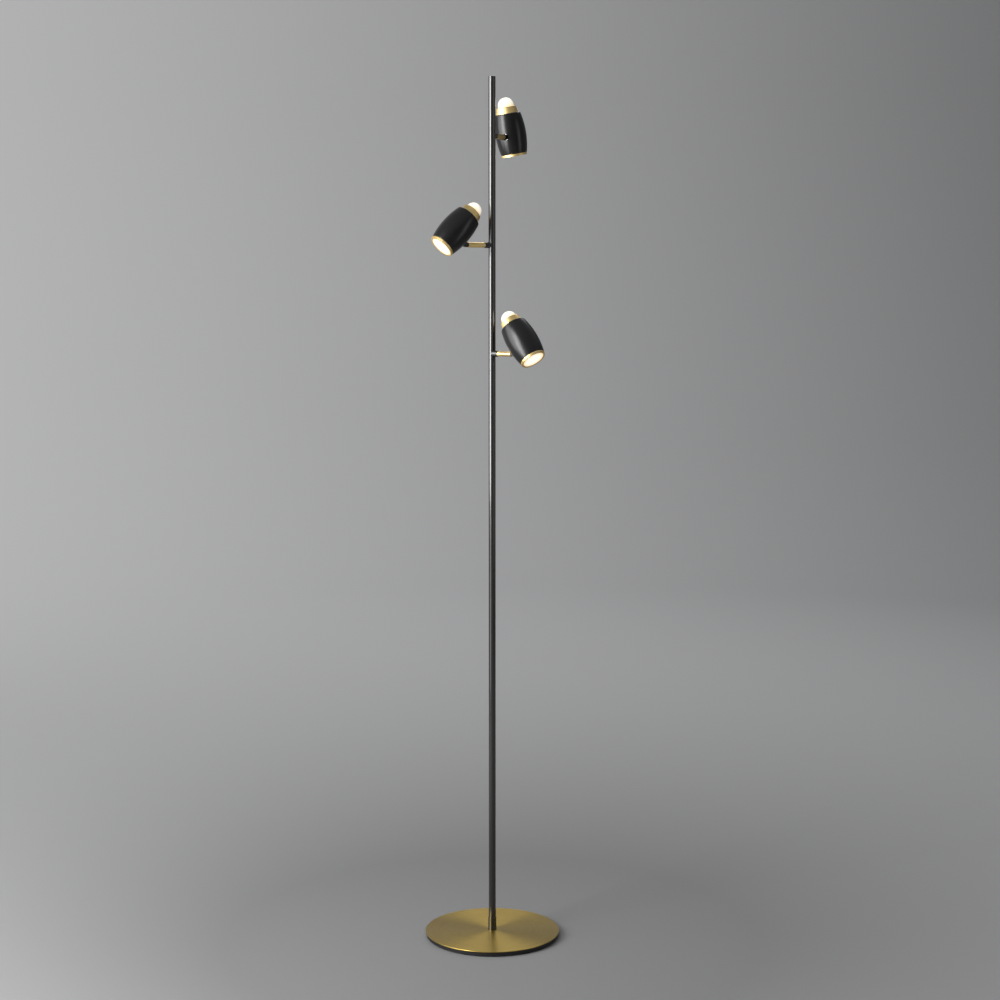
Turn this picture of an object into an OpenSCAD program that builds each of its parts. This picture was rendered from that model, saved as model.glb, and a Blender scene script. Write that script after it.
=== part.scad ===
// Floor lamp with a round weighted base, a slim pole in three sections and
// three spot heads. Each head swivels about its arm and tilts on a half-lap
// knuckle. Units are millimetres, +Z is up, and the origin is at the centre
// of the base's underside, on the pole's axis. -Y is the front.

/* [Lamp] */
// Height from the floor to the top of the pole
lamp_h = 1580; // [1450:1:1750]

/* [Base] */
// Diameter over the rolled edge of the cover
base_d = 250; // [220:1:320]
// Sheet thickness of the cover
cover_t = 1; // [0.8:0.1:1.2]
// Diameter of the bead rolled round the cover's edge
rim_bead_d = 1.6; // [1.3:0.1:1.8]
// How far the cover overhangs the weight, all round
cover_overhang = 2; // [2:0.5:12]
// Thickness of the cast weight
weight_t = 8; // [7:0.1:14]
// Chamfer round the foot of the weight
weight_chamfer = 1; // [0.5:0.1:2]
// Thickness of the floor pad
pad_t = 1.5; // [1:0.1:4]
// How far the pad stays inside the weight's edge
pad_inset = 4; // [2:0.5:10]
// Diameter of the nut's recess in the weight
recess_d = 56; // [30:1:90]
// Iron left above the recess
recess_roof = 2.8; // [2:0.1:3.5]
// Width of the cord channel from the recess to the back edge
channel_w = 9; // [8:0.5:14]
// Iron left above the cord channel
channel_roof = 1; // [0.5:0.1:1.5]
// Length of the cord inlet bush
bush_l = 9; // [6:0.5:16]
// Bore of the cord inlet bush
bush_bore = 5.2; // [4:0.1:5.5]

/* [Base fastening] */
// Diameter of the washer under the weight
washer_d = 20; // [18:0.5:28]
// Thickness of the washer
washer_t = 1; // [0.6:0.1:1.5]
// Nut size across its flats
nut_af = 14; // [13:0.5:17]
// Thickness of the nut
nut_t = 3; // [2:0.1:3.2]
// Wall of the threaded nipple
nipple_wall = 1.5; // [1:0.1:2]
// How far the nipple reaches into the pole
nipple_grip = 20; // [12:1:40]

/* [Collar] */
// Diameter of the collar's body
collar_d = 15.2; // [15:0.1:24]
// Height of the collar's body
collar_h = 24; // [16:0.5:40]
// Diameter of the foot ring
collar_foot_d = 16; // [15.6:0.1:28]
// Height of the foot ring
collar_foot_h = 6; // [4:0.5:10]
// Radius of the two rounded shoulders
collar_round = 0.6; // [0.4:0.1:2]
// Height of the tapered neck
collar_neck_h = 15; // [8:0.5:30]
// Wall of the neck where it ends on the pole
collar_lip = 0.3; // [0.2:0.1:1]
// Thickness of the collar's floor, which the pole stands on
collar_floor = 4; // [3:0.5:8]

/* [Pole] */
// Outer diameter of the pole
pole_d = 13; // [12:0.1:13.4]
// Wall of the pole
pole_wall = 1.2; // [1:0.1:1.4]
// Length of each coupler inside the pole
coupler_l = 30; // [20:1:50]
// Wall of the couplers
coupler_wall = 2.2; // [1.5:0.1:2.3]
// Thickness of the cap on top of the pole
cap_t = 3; // [2:0.1:8]
// Chamfer round the cap
cap_chamfer = 0.5; // [0.2:0.1:1]
// Length of the cap's plug inside the pole
cap_plug_l = 8; // [4:0.5:20]

/* [Arms] */
// Distance from the top of the pole down to the top arm
arm_drop = 104; // [80:1:140]
// Vertical distance from arm to arm
arm_pitch = 195; // [180:1:240]
// Length of pole between the lowest arm and the joint below it
arm_foot = 30; // [24:1:60]
// Distance from the pole's axis to the tilt pivots
arm_reach = 53; // [46:0.5:70]
// Diameter of the arm tubes
arm_d = 9.4; // [9:0.1:10]
// Bore of the arm tubes
arm_bore = 3.4; // [3:0.1:3.8]
// Diameter of the bosses on the pole
boss_d = 11; // [10.6:0.1:14]
// Distance from the pole's axis to the bosses' end faces
boss_reach = 15; // [14:0.5:20]
// Diameter of the spigot on each arm's inner end
spigot_d = 7; // [6.5:0.1:7.6]
// Length of the spigot
spigot_l = 6.8; // [6.5:0.1:7.2]
// Width of the groove round the spigot
groove_w = 2.4; // [2.2:0.1:3]
// Depth of the groove
groove_depth = 0.8; // [0.6:0.1:0.9]
// Arc left uncut in the groove, which stops the swivel
groove_stop_deg = 22; // [4:1:24]
// Thickness of the washer between boss and arm
swivel_washer_t = 0.5; // [0.3:0.1:1]
// Diameter of the grub screws in the bosses
grub_d = 3; // [2.5:0.1:4]
// Diameter of the grub screws' tips
grub_tip_d = 1.8; // [1.2:0.1:2]
// Hexagon socket of the grub screws, across its flats
grub_hex = 1.3; // [1:0.1:1.5]

/* [Aim at rest] */
// Bearing of the top arm, counter-clockwise from +X
top_az = 65; // [40:1:90]
// Bearing of the middle arm
middle_az = 206; // [180:1:230]
// Bearing of the low arm
low_az = -42; // [-70:1:-20]
// Tilt of the top head's beam out from straight down
top_tilt = 9; // [-50:1:50]
// Tilt of the middle head's beam
middle_tilt = 45; // [-50:1:50]
// Tilt of the low head's beam
low_tilt = 39; // [-50:1:50]
// Swivel of the top head about its arm
top_swivel = 7; // [-150:1:150]
// Swivel of the middle head
middle_swivel = -3; // [-150:1:150]
// Swivel of the low head
low_swivel = 0; // [-150:1:150]

/* [Knuckles] */
// Diameter of the knuckle halves
knuckle_d = 8; // [7.8:0.1:9]
// Width over both knuckle halves
knuckle_w = 8; // [7.4:0.1:8.6]
// Gap between the two halves
knuckle_gap = 0.2; // [0.1:0.1:0.4]
// Thickness of the flange that meets the arm tube
knuckle_flange_t = 1; // [0.6:0.1:3]
// Diameter of the plug inside the arm tube and of the stud in the head
knuckle_plug_d = 6; // [5:0.1:6.4]
// Length of the plug inside the arm tube
knuckle_plug_l = 8; // [6:0.5:12]
// Length of the stud inside the heat sink
stud_l = 7; // [5:0.5:10]
// Diameter of the pivot screw
pivot_d = 2.4; // [2:0.1:2.5]
// Diameter of the pivot screw's head
pivot_head_d = 4.6; // [3.8:0.1:5]
// Thickness of the pivot screw's head
pivot_head_t = 1; // [0.8:0.1:1.2]
// Width of the slot across the pivot screw's head
pivot_slot_w = 0.6; // [0.4:0.1:0.8]
// Distance from the knuckle's middle to the lead where it crosses over
lead_side = 1.5; // [1.45:0.05:1.6]
// Running room between parts that move past each other
move_gap = 0.3; // [0.2:0.05:0.5]

/* [Head] */
// Greatest diameter of the barrel shell
barrel_d = 56.8; // [55:0.2:64]
// Length from the front ring's face to the back of the barrel
barrel_l = 77.5; // [70:0.5:90]
// Radius of the barrel's lengthwise curve
barrel_curve_r = 150; // [140:1:200]
// Distance from the front face to the barrel's widest place
belly_s = 40.5; // [36:0.5:42]
// Radius of the barrel's back edge
barrel_round = 2.6; // [2.2:0.1:3.4]
// Wall of the barrel
barrel_wall = 1.6; // [1.2:0.1:2]
// Distance from the front face to the pivot
pivot_s = 36.5; // [30:0.5:38]
// How far the pivot stands off the barrel's widest place
pivot_standoff = 2.3; // [2.1:0.1:5]
// Diameter of the knuckle's hole in the barrel
knuckle_hole_d = 12; // [11.8:0.1:14]

/* [Front ring and lens] */
// Outer diameter of the front ring
ring_d = 47; // [46:0.1:47.6]
// Height of the front ring
ring_h = 4; // [4:0.1:8]
// Height of the bezel step at the front of the ring
bezel_h = 1.4; // [1:0.1:2]
// How far the bezel is set in from the ring's side
bezel_step = 0.7; // [0.4:0.1:1]
// Diameter of the opening in the front ring
ring_open_d = 39.2; // [36:0.1:41]
// Thickness of the lip in front of the lens
ring_lip_t = 0.8; // [0.5:0.1:1]
// Length of the threaded skirt inside the barrel
skirt_l = 4; // [3:0.5:8]
// Wall of the skirt
skirt_wall = 1.1; // [0.8:0.1:1.4]
// Thickness of the lens
lens_t = 2.2; // [1.5:0.1:3]

/* [Heat sink and light boards] */
// Distance from the front face to the front board's face
board_s = 16; // [12:0.5:18]
// Thickness of the two light boards
board_t = 1.6; // [1:0.1:2]
// Diameter of the front board
front_board_d = 36; // [30:0.5:37]
// Diameter of the rear board
rear_board_d = 25; // [20:0.5:25]
// Size of each light chip
chip_w = 3; // [2:0.1:4]
// Thickness of a light chip
chip_t = 0.8; // [0.5:0.1:1]
// Diameter of the heat sink's front plate, fins and shoulder
sink_d = 38; // [37.5:0.5:41]
// Thickness of the heat sink's front plate
sink_plate_t = 4; // [3:0.5:6]
// Diameter of the heat sink's hub
sink_hub_d = 20; // [14:0.5:24]
// Bore through the hub
sink_bore = 6; // [4:0.1:7]
// Number of fins
fin_count = 4; // [2:1:5]
// Thickness of a fin
fin_t = 1.4; // [1:0.1:2]
// Distance from fin to fin
fin_pitch = 6; // [4.5:0.1:6.5]
// Thickness of the shoulder that carries the barrel
shoulder_t = 4; // [3:0.5:5]
// Diameter of the pad that the knuckle's stud screws into
pad_boss_d = 12; // [10:0.5:14]
// Distance from the head's axis to that pad's face
pad_boss_reach = 20; // [19:0.5:21]

/* [Rear band and dome] */
// Diameter of the rear band where it meets the barrel
band_d = 40.4; // [37:0.1:41]
// Diameter of the rear band where the dome comes out
band_end_d = 35.6; // [32:0.1:37]
// Length of the rear band
band_l = 12; // [9:0.5:16]
// Diameter of the dome
dome_d = 29; // [28.8:0.1:31]
// Wall of the dome
dome_wall = 1.6; // [1:0.1:2]
// Straight part of the dome that shows above the band
dome_rise = 2.5; // [0.5:0.5:4]
// Length of the dome's skirt inside the band
dome_skirt_l = 4.5; // [3:0.5:7]

/* [Wiring] */
// Diameter of the jacketed lead inside the pole
trunk_d = 4.5; // [3:0.1:4.8]
// Height of the trunk lead's lower end, above the nipple
trunk_gap = 26; // [20:1:60]
// Diameter of the leads in the arms and heads
lead_d = 1.6; // [1.2:0.1:1.7]
// Length of a crimp splice
splice_l = 16; // [10:1:18]
// Diameter of a crimp splice
splice_d = 3.6; // [2.5:0.1:4]
// Diameter of the lead holes through the pole's wall
lead_hole_d = 4; // [3:0.1:5]

/* [Fits] */
// Radial clearance of screwed, sliding and running fits
slip = 0.05; // [0.02:0.01:0.1]
// Room round a lead in its hole
lead_room = 0.3; // [0.2:0.05:0.4]
// How much wider a lead and its hole are at a bend
bend_extra = 0.2; // [0.1:0.05:0.3]
// How far each cut runs on past the face that it opens
cut_past = 1; // [0.5:0.1:2]

/* [Hidden] */
$fn = 96;
TOP = 0;
MIDDLE = 1;
LOW = 2;
ALL_ARMS = [TOP, MIDDLE, LOW];

// Heights in the base
weight_z = pad_t;
cover_z = weight_z + weight_t;
base_top = cover_z + cover_t;
weight_d = base_d - 2 * cover_overhang;
recess_top = cover_z - recess_roof;
channel_top = cover_z - channel_roof;
nut_top = recess_top - washer_t;

// Pole and what fits inside it
pole_bore = pole_d - 2 * pole_wall;
nipple_d = pole_bore - 2 * slip;
pole_z = base_top + collar_floor;
pole_top = lamp_h - cap_t;
arm_z = [for (i = ALL_ARMS) lamp_h - arm_drop - i * arm_pitch];
upper_z = arm_z[LOW] - arm_foot;
middle_z = (pole_z + upper_z) / 2;
nipple_top = pole_z + nipple_grip;
trunk_z = nipple_top + trunk_gap;

// Each arm's bearing and each head's aim
az = [top_az, middle_az, low_az];
tilt = [top_tilt, middle_tilt, low_tilt];
swivel = [top_swivel, middle_swivel, low_swivel];

// Arm, measured from the pole's axis
shoulder_r = boss_reach + swivel_washer_t;
knuckle_back = knuckle_d / 2 + move_gap;
arm_end_r = arm_reach - knuckle_back - knuckle_flange_t;
groove_r = boss_reach - (spigot_l - swivel_washer_t) / 2;
boss_floor_r = shoulder_r - spigot_l - move_gap;

// Knuckle lead hole, beside the pivot screw
lead_hole = lead_d + lead_room;
pivot_hole_d = pivot_d + 2 * slip;
knuckle_web = (knuckle_d - pivot_hole_d - 2 * lead_hole) / 4;
lead_offset = pivot_hole_d / 2 + knuckle_web + lead_hole / 2;
lead_turn = knuckle_back + knuckle_flange_t + lead_offset;

// Head, measured from the front face along its axis
pivot_r = barrel_d / 2 + pivot_standoff;
barrel_centre_r = barrel_d / 2 - barrel_curve_r;
lens_s = ring_lip_t;
spigot_end_s = barrel_l + band_l - dome_skirt_l;
dome_centre_s = barrel_l + band_l + dome_rise;
sink_s = board_s + board_t;
shoulder_s = barrel_l - barrel_wall - shoulder_t;
sink_spigot_d = dome_d;
fin_s = shoulder_s - fin_count * fin_pitch;
skirt_d = 2 * barrel_r_in(ring_h) - 2 * slip;
lens_d = skirt_d - 2 * skirt_wall - 2 * slip;

function barrel_r(s) = barrel_centre_r + sqrt(pow(barrel_curve_r, 2) - pow(s - belly_s, 2));
function barrel_r_in(s) = barrel_centre_r
    + sqrt(pow(barrel_curve_r - barrel_wall, 2) - pow(s - belly_s, 2));

// A tube standing on z
module tube(z, h, d, bore) {
    translate([0, 0, z]) difference() {
        cylinder(d = d, h = h);
        translate([0, 0, -cut_past]) cylinder(d = bore, h = h + 2 * cut_past);
    }
}

// A round bar between two points
module bar(from, to, d) {
    v = to - from;
    l = norm(v);
    translate(from) rotate([0, acos(v.z / l), atan2(v.y, v.x)]) cylinder(d = d, h = l);
}

// Places children drawn with +X along arm i, at the pole's axis
module on_pole(i) {
    rotate([0, 0, az[i]]) translate([0, 0, arm_z[i]]) children();
}

// The same, turned with the arm's swivel
module on_arm(i) {
    on_pole(i) rotate([-swivel[i], 0, 0]) children();
}

// Places children drawn at the tilt pivot, turned with the head
module on_pivot(i) {
    on_arm(i) translate([arm_reach, 0, 0]) rotate([0, -tilt[i], 0]) children();
}

// Places children drawn with +Z from the head's front face to its dome
module on_head(i) {
    on_pivot(i) translate([pivot_r, 0, -pivot_s]) children();
}

// Soft sheet under the weight, which closes the recess
module base_pad() color("#2a2a2a") cylinder(d = weight_d - 2 * pad_inset, h = pad_t);

// Cast disc with a recess for the nut and a channel for the cord
module base_weight() color("#161616") difference() {
    rotate_extrude() polygon([
        [0, weight_z], [weight_d / 2 - weight_chamfer, weight_z],
        [weight_d / 2, weight_z + weight_chamfer], [weight_d / 2, cover_z], [0, cover_z]
    ]);
    translate([0, 0, weight_z - cut_past]) cylinder(d = recess_d, h = recess_top - weight_z + cut_past);
    translate([-channel_w / 2, 0, weight_z - cut_past])
        cube([channel_w, weight_d / 2 + cut_past, channel_top - weight_z + cut_past]);
    cylinder(d = nipple_d + 2 * slip, h = base_top);
}

// Spun disc with a bead rolled round its edge
module base_cover() color("#8b7440") rotate_extrude() {
    translate([nipple_d / 2 + slip, cover_z])
        square([(base_d - rim_bead_d - nipple_d) / 2 - slip, cover_t]);
    translate([(base_d - rim_bead_d) / 2, base_top - rim_bead_d / 2]) circle(d = rim_bead_d);
}

// Bush in the channel's mouth, where the supply cord goes in
module cord_inlet_bush() color("#101010") {
    z = (weight_z + channel_top) / 2;
    h = channel_top - weight_z - 2 * slip;
    difference() {
        translate([-channel_w / 2 + slip, weight_d / 2 - bush_l, z - h / 2])
            cube([channel_w - 2 * slip, bush_l, h]);
        translate([0, weight_d / 2 + cut_past, z]) rotate([90, 0, 0])
            cylinder(d = bush_bore, h = bush_l + 2 * cut_past);
    }
}

// Plain washer under the weight
module base_washer() color("silver") tube(nut_top, washer_t, washer_d, nipple_d + 2 * slip);

// Hexagon nut that clamps the base to the pole
module base_nut() color("silver") translate([0, 0, nut_top - nut_t]) difference() {
    cylinder(d = nut_af / cos(30), h = nut_t, $fn = 6);
    translate([0, 0, -cut_past]) cylinder(d = nipple_d + 2 * slip, h = nut_t + 2 * cut_past);
}

// Threaded tube from the nut to the pole
module pole_nipple() color("silver")
    tube(nut_top - nut_t, nipple_top - nut_top + nut_t, nipple_d, nipple_d - 2 * nipple_wall);

// One rounded step of the collar's outline
module collar_step(d, h) {
    square([d / 2 - collar_round, h]);
    square([d / 2, h - collar_round]);
    translate([d / 2 - collar_round, h - collar_round]) circle(r = collar_round);
}

// Turned collar round the foot of the pole
module base_collar() color("#181818") translate([0, 0, base_top]) rotate_extrude() difference() {
    union() {
        collar_step(collar_foot_d, collar_foot_h);
        collar_step(collar_d, collar_h);
        polygon([
            [0, collar_h - collar_round], [collar_d / 2 - collar_round, collar_h],
            [pole_d / 2 + slip + collar_lip, collar_h + collar_neck_h], [0, collar_h + collar_neck_h]
        ]);
    }
    translate([0, collar_floor]) square([pole_d / 2 + slip, collar_h + collar_neck_h]);
    square([nipple_d / 2 + slip, collar_floor]);
}

// The three lengths of the pole, joined end to end
module pole_lower() color("#1c1c1c") tube(pole_z, middle_z - pole_z, pole_d, pole_bore);
module pole_middle() color("#1c1c1c") tube(middle_z, upper_z - middle_z, pole_d, pole_bore);
module pole_upper() color("#1c1c1c") difference() {
    tube(upper_z, pole_top - upper_z, pole_d, pole_bore);
    for (i = ALL_ARMS) on_pole(i) rotate([0, 90, 0]) cylinder(d = lead_hole_d, h = pole_d);
}

// Threaded sleeves that join the pole's lengths
module pole_couplers() color("silver") for (z = [middle_z, upper_z])
    tube(z - coupler_l / 2, coupler_l, nipple_d, nipple_d - 2 * coupler_wall);

// Flat cap with a plug
module pole_cap() color("#141414") rotate_extrude() polygon([
    [0, pole_top - cap_plug_l], [nipple_d / 2, pole_top - cap_plug_l], [nipple_d / 2, pole_top],
    [pole_d / 2, pole_top], [pole_d / 2, lamp_h - cap_chamfer],
    [pole_d / 2 - cap_chamfer, lamp_h], [0, lamp_h]
]);

// Jacketed lead up the middle of the pole
module trunk_lead() color("#303030") translate([0, 0, trunk_z])
    cylinder(d = trunk_d, h = arm_z[TOP] + trunk_d - trunk_z);

// Splices between the supply cord and the trunk lead
module crimp_splices() color("ivory") for (side = [-1, 1])
    translate([side * (splice_d + slip) / 2, 0, trunk_z - splice_l]) cylinder(d = splice_d, h = splice_l);

// Bosses brazed to the pole, which the arms swivel in
module arm_bosses() color("#161616") for (i = ALL_ARMS) difference() {
    on_pole(i) difference() {
        rotate([0, 90, 0]) cylinder(d = boss_d, h = boss_reach);
        translate([boss_floor_r, 0, 0]) rotate([0, 90, 0])
            cylinder(d = spigot_d + 2 * slip, h = boss_reach);
        rotate([0, 90, 0]) cylinder(d = lead_hole_d, h = boss_reach);
        translate([groove_r, 0, -boss_d]) cylinder(d = grub_d + 2 * slip, h = boss_d);
    }
    cylinder(d = pole_d, h = lamp_h);
}

// Grub screw under each boss, with its tip in the spigot's groove
module boss_grub_screws() color("silver") for (i = ALL_ARMS) on_pole(i) translate([groove_r, 0, 0]) {
    tip = spigot_d / 2 - groove_depth + move_gap;
    body = spigot_d / 2 + slip;
    end = boss_d / 2 - grub_hex / 2;
    difference() {
        translate([0, 0, -end]) cylinder(d = grub_d, h = end - body);
        translate([0, 0, -boss_d / 2])
            cylinder(d = grub_hex / cos(30), h = boss_d / 2 - body - grub_hex / 2, $fn = 6);
    }
    translate([0, 0, -body]) cylinder(d = grub_tip_d, h = body - tip);
}

// Washers between the bosses and the arms
module swivel_washers() color("white") for (i = ALL_ARMS) on_pole(i) rotate([0, 90, 0])
    tube(boss_reach, swivel_washer_t, arm_d - 2 * move_gap, spigot_d + 2 * slip);

// Arm tube with a grooved spigot at the pole and a socket for the knuckle
module arm_tube(i) color("#c49a45") on_arm(i) rotate([0, 90, 0]) difference() {
    union() {
        translate([0, 0, shoulder_r]) cylinder(d = arm_d, h = arm_end_r - shoulder_r);
        translate([0, 0, shoulder_r - spigot_l]) cylinder(d = spigot_d, h = spigot_l);
    }
    cylinder(d = arm_bore, h = arm_reach);
    translate([0, 0, arm_end_r - knuckle_plug_l]) cylinder(d = knuckle_plug_d + 2 * slip, h = arm_reach);
    translate([0, 0, groove_r - groove_w / 2]) rotate([0, 0, 180 + groove_stop_deg / 2])
        rotate_extrude(angle = 360 - groove_stop_deg)
            translate([spigot_d / 2 - groove_depth, 0]) square([spigot_d, groove_w]);
}

// Half of a knuckle on the side named by side, -1 or 1, before its holes
module knuckle_half(side, from, to) {
    half = (knuckle_w - knuckle_gap) / 2;
    y = side > 0 ? knuckle_gap / 2 : -knuckle_w / 2;
    translate([0, y + half, 0]) rotate([90, 0, 0]) cylinder(d = knuckle_d, h = half);
    translate([from, y, -knuckle_d / 2]) cube([to - from, half, knuckle_d]);
}

// Ring-shaped pocket that lets the lead cross from half to half
module lead_pocket(side) {
    depth = lead_side + lead_hole / 2;
    translate([0, side > 0 ? depth : 0, 0]) rotate([90, 0, 0]) difference() {
        cylinder(r = lead_offset + lead_hole / 2, h = depth);
        cylinder(r = lead_offset - lead_hole / 2, h = depth);
    }
}

// Arm's half of the knuckle, screwed into the arm tube
module arm_knuckle(i) color("#161616") on_arm(i) translate([arm_reach, 0, 0]) difference() {
    union() {
        knuckle_half(-1, -knuckle_back, 0);
        translate([-knuckle_back - knuckle_flange_t, 0, 0]) rotate([0, 90, 0])
            cylinder(d = knuckle_d, h = knuckle_flange_t);
        translate([-knuckle_back - knuckle_flange_t - knuckle_plug_l + slip, 0, 0]) rotate([0, 90, 0])
            cylinder(d = knuckle_plug_d, h = knuckle_plug_l);
    }
    translate([0, knuckle_w, 0]) rotate([90, 0, 0]) cylinder(d = pivot_hole_d, h = 2 * knuckle_w);
    translate([0, -knuckle_w / 2 + pivot_head_t, 0]) rotate([90, 0, 0])
        cylinder(d = pivot_head_d + 2 * move_gap, h = knuckle_w);
    lead_pocket(-1);
    bar([-lead_turn, 0, 0], [0, -lead_side, lead_offset], lead_hole);
    translate([-lead_turn, 0, 0]) sphere(d = lead_hole + bend_extra);
    bar([-arm_reach, 0, 0], [-lead_turn, 0, 0], lead_hole);
}

// Lead along the arm, from the trunk lead to the knuckle
module arm_lead(i) color("#d8d8d8") on_arm(i) {
    turn = [arm_reach - lead_turn, 0, 0];
    bar([trunk_d / 2 + move_gap, 0, 0], turn, lead_d);
    translate(turn) sphere(d = lead_d + bend_extra);
    bar(turn, [arm_reach, -lead_side, lead_offset], lead_d);
}

// Head's half of the knuckle, with a hollow stud into the heat sink
module head_knuckle(i) color("#161616") on_pivot(i) difference() {
    pad = pivot_r - pad_boss_reach;
    union() {
        knuckle_half(1, 0, knuckle_back);
        translate([knuckle_back, 0, 0]) rotate([0, 90, 0]) cylinder(d = knuckle_d, h = pad - knuckle_back);
        translate([pad, 0, 0]) rotate([0, 90, 0]) cylinder(d = knuckle_plug_d, h = stud_l);
    }
    translate([0, knuckle_w, 0]) rotate([90, 0, 0]) cylinder(d = pivot_hole_d, h = 2 * knuckle_w);
    lead_pocket(1);
    bar([0, lead_side, lead_offset], [lead_turn, 0, 0], lead_hole);
    translate([lead_turn, 0, 0]) sphere(d = lead_hole + bend_extra);
    bar([lead_turn, 0, 0], [pivot_r, 0, 0], lead_hole);
}

// Slotted screw that is the tilt pivot
module pivot_screw(i) color("silver") on_pivot(i) {
    head_y = -knuckle_w / 2;
    translate([0, knuckle_w / 2, 0]) rotate([90, 0, 0]) cylinder(d = pivot_d, h = knuckle_w - pivot_head_t);
    difference() {
        translate([0, head_y + pivot_head_t, 0]) rotate([90, 0, 0])
            cylinder(d = pivot_head_d, h = pivot_head_t);
        translate([-pivot_head_d, head_y - pivot_head_t, -pivot_slot_w / 2])
            cube([2 * pivot_head_d, pivot_head_t * 3 / 2, pivot_slot_w]);
    }
}

// Filled outline of the barrel, drawn inset from its outer skin
module barrel_outline(inset) {
    r = barrel_curve_r - inset;
    q = barrel_round - inset;
    end = barrel_l - inset;
    x = barrel_centre_r + sqrt(pow(r - q, 2) - pow(end - q - belly_s, 2));
    tangent_s = belly_s + (end - q - belly_s) * r / (r - q);
    intersection() {
        translate([barrel_centre_r, belly_s]) circle(r = r, $fn = 4 * $fn);
        square([barrel_d, tangent_s]);
    }
    square([x, end]);
    translate([x, end - q]) circle(r = q);
}

// Spun barrel, open at the front, with a rear hole and a hole for the knuckle
module barrel(i) color("#141414") on_head(i) difference() {
    rotate_extrude() difference() {
        barrel_outline(0);
        barrel_outline(barrel_wall);
        square([barrel_d, ring_h]);
        square([sink_spigot_d / 2 + slip, barrel_l + cut_past]);
    }
    translate([-pivot_r, 0, pivot_s]) rotate([0, 90, 0]) cylinder(d = knuckle_hole_d, h = pivot_r);
}

// Stepped ring that holds the lens
module front_ring(i) color("#c49a45") on_head(i) rotate_extrude() difference() {
    union() {
        square([ring_d / 2 - bezel_step, bezel_h]);
        translate([0, bezel_h]) square([ring_d / 2, ring_h - bezel_h]);
        square([skirt_d / 2, ring_h + skirt_l]);
    }
    square([ring_open_d / 2, ring_h + skirt_l]);
    translate([0, ring_lip_t]) square([lens_d / 2 + slip, ring_h + skirt_l]);
}

// Frosted disc behind the ring's lip
module lens(i) color("#fff4d8") on_head(i) translate([0, 0, lens_s]) cylinder(d = lens_d, h = lens_t);

// Round board with light chips on a grid
module board(d, grid) {
    difference() {
        cylinder(d = d, h = board_t);
        translate([0, 0, -cut_past]) cylinder(d = lead_hole, h = board_t + 2 * cut_past);
    }
    for (x = [-grid:2 * chip_w:grid], y = [-grid:2 * chip_w:grid])
        if (norm([x, y]) < d / 2 - chip_w && norm([x, y]) > chip_w)
            translate([x - chip_w / 2, y - chip_w / 2, board_t]) cube([chip_w, chip_w, chip_t]);
}

// Board that faces the lens
module front_board(i) color("white") on_head(i) translate([0, 0, sink_s]) rotate([180, 0, 0])
    board(front_board_d, 4 * chip_w);

// Board inside the dome
module rear_board(i) color("white") on_head(i) translate([0, 0, spigot_end_s])
    board(rear_board_d, 2 * chip_w);

// Turned core that carries the boards, the barrel, the rear band and the knuckle
module heat_sink(i) color("#a8a8a8") on_head(i) difference() {
    union() {
        translate([0, 0, sink_s]) cylinder(d = sink_d, h = sink_plate_t);
        translate([0, 0, sink_s]) cylinder(d = sink_hub_d, h = shoulder_s - sink_s);
        for (n = [0:fin_count - 1]) translate([0, 0, fin_s + n * fin_pitch]) cylinder(d = sink_d, h = fin_t);
        translate([0, 0, shoulder_s]) cylinder(d = sink_d, h = shoulder_t);
        translate([0, 0, shoulder_s]) cylinder(d = sink_spigot_d, h = spigot_end_s - shoulder_s);
        translate([-pad_boss_reach, 0, pivot_s]) rotate([0, 90, 0])
            cylinder(d = pad_boss_d, h = pad_boss_reach);
    }
    translate([0, 0, sink_s - cut_past]) cylinder(d = sink_bore, h = barrel_l + band_l);
    translate([-pad_boss_reach - cut_past, 0, pivot_s]) rotate([0, 90, 0])
        cylinder(d = knuckle_plug_d + 2 * slip, h = pad_boss_reach);
}

// Tapered band round the foot of the dome
module rear_band(i) color("#c49a45") on_head(i) difference() {
    translate([0, 0, barrel_l]) cylinder(d1 = band_d, d2 = band_end_d, h = band_l);
    translate([0, 0, barrel_l - cut_past]) cylinder(d = dome_d + 2 * slip, h = band_l + 2 * cut_past);
}

// Hollow dome that glows at the back of the head
module dome(i) color("#fffbe8") on_head(i) rotate_extrude() difference() {
    union() {
        translate([0, dome_centre_s]) intersection() {
            circle(d = dome_d);
            square(dome_d);
        }
        translate([0, spigot_end_s]) square([dome_d / 2, dome_centre_s - spigot_end_s]);
    }
    translate([0, dome_centre_s]) intersection() {
        circle(d = dome_d - 2 * dome_wall);
        square(dome_d);
    }
    translate([0, spigot_end_s - cut_past])
        square([dome_d / 2 - dome_wall, dome_centre_s - spigot_end_s + cut_past]);
}

// Lead from the knuckle to both boards
module head_lead(i) color("#d8d8d8") on_pivot(i) {
    turn = [lead_turn, 0, 0];
    axis = [pivot_r, 0, 0];
    bar([0, lead_side, lead_offset], turn, lead_d);
    translate(turn) sphere(d = lead_d + bend_extra);
    bar(turn, axis, lead_d);
    translate(axis) sphere(d = 3 * lead_d / 2);
    translate([pivot_r, 0, sink_s - pivot_s]) cylinder(d = lead_d, h = spigot_end_s - sink_s);
}

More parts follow.
